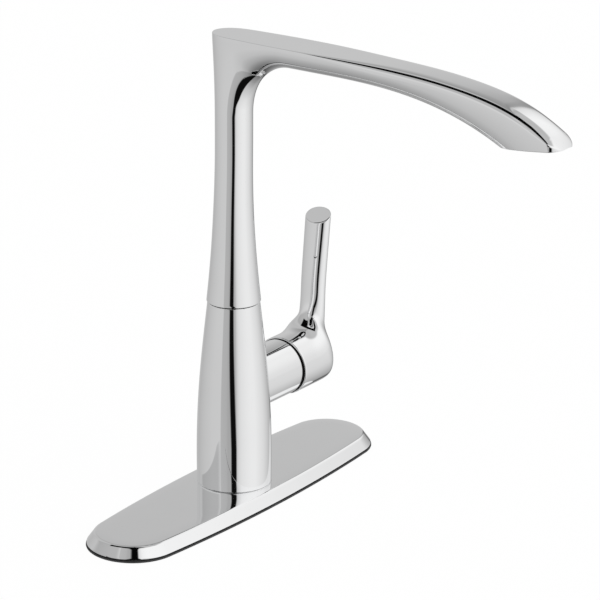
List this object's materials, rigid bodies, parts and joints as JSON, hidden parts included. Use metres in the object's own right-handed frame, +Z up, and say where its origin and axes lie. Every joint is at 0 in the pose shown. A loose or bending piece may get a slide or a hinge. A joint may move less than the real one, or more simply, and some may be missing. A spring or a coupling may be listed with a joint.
{
  "type": "kitchen faucet",
  "caption": "Single-lever chrome kitchen faucet: a slim high spout swivels on a tapered body with a side lever, on a long deck plate over the sink's holes.",
  "frame": {"origin": "on the body's axis at the top of the sink deck, which is the underside of the deck gasket", "axes": "+Z up along the body, X along the deck plate with the lever at +X, and the spout reaching towards -Y, the user"},
  "size_m": [0.2584, 0.2686, 0.3614],
  "materials": {
    "gasket_rubber": "matt black",
    "backing_plastic": "matt dark grey",
    "plate_chrome": "polished",
    "body_chrome": "polished",
    "spout_chrome": "polished",
    "handle_chrome": "polished",
    "seal_rubber": "smooth black",
    "washer_rubber": "matt black",
    "core_brass": "machined",
    "shank_brass": "machined",
    "stem_brass": "machined",
    "nut_brass": "machined",
    "bonnet_nickel": "nickel plated",
    "washer_steel": "zinc plated",
    "screw_steel": "stainless",
    "bush_plastic": "smooth black acetal",
    "aerator_plastic": "smooth light grey",
    "cartridge_plastic": "smooth off white",
    "carrier_plastic": "smooth dark grey",
    "ceramic": "lapped ceramic",
    "plug_plastic": "smooth grey"
  },
  "bodies": {
    "base": {"deck_gasket": "gasket_rubber", "plate_backing": "backing_plastic", "deck_plate": "plate_chrome", "base_seal": "seal_rubber", "body_shell": "body_chrome", "waterway_core": "core_brass", "mounting_shank": "shank_brass", "rubber_washer": "washer_rubber", "steel_washer": "washer_steel", "mounting_nut": "nut_brass", "spout_o_rings": "seal_rubber", "cartridge_seal": "seal_rubber", "cartridge_base": "cartridge_plastic", "fixed_disc": "ceramic", "cartridge_housing": "cartridge_plastic", "bonnet_nut": "bonnet_nickel"},
    "spout": {"spout": "spout_chrome", "aerator_washer": "seal_rubber", "aerator_housing": "aerator_plastic", "aerator_insert": "aerator_plastic", "swivel_bush_lower": "bush_plastic", "swivel_bush_upper": "bush_plastic", "spout_set_screw": "screw_steel"},
    "guide": {"stem_guide": "carrier_plastic", "stem_pin": "screw_steel"},
    "handle": {"handle": "handle_chrome", "stem": "stem_brass", "handle_set_screw": "screw_steel", "handle_plug": "plug_plastic"},
    "disc": {"moving_disc": "ceramic", "disc_carrier": "carrier_plastic"}
  },
  "joints": [
    {"name": "spout_swivel", "type": "hinge", "parent": "base", "child": "spout", "pos_m": [0, 0, 0.1283], "axis": [0, 0, 1], "continuous": true},
    {"name": "handle_turn", "type": "hinge", "parent": "base", "child": "guide", "pos_m": [0, 0, 0.07], "axis": [1, 0, 0], "range_deg": [-45, 45]},
    {"name": "handle_tilt", "type": "hinge", "parent": "guide", "child": "handle", "pos_m": [0.03305, 0, 0.07], "axis": [0, 1, 0], "range_deg": [0, 20]},
    {"name": "disc_slide", "type": "slide", "parent": "guide", "child": "disc", "axis": [0, 0, 1], "range_m": [0, 0.00236]}
  ],
  "couplings": [
    {"joint": "disc_slide", "follows": "handle_tilt", "m_per_rad": 0.00676}
  ]
}
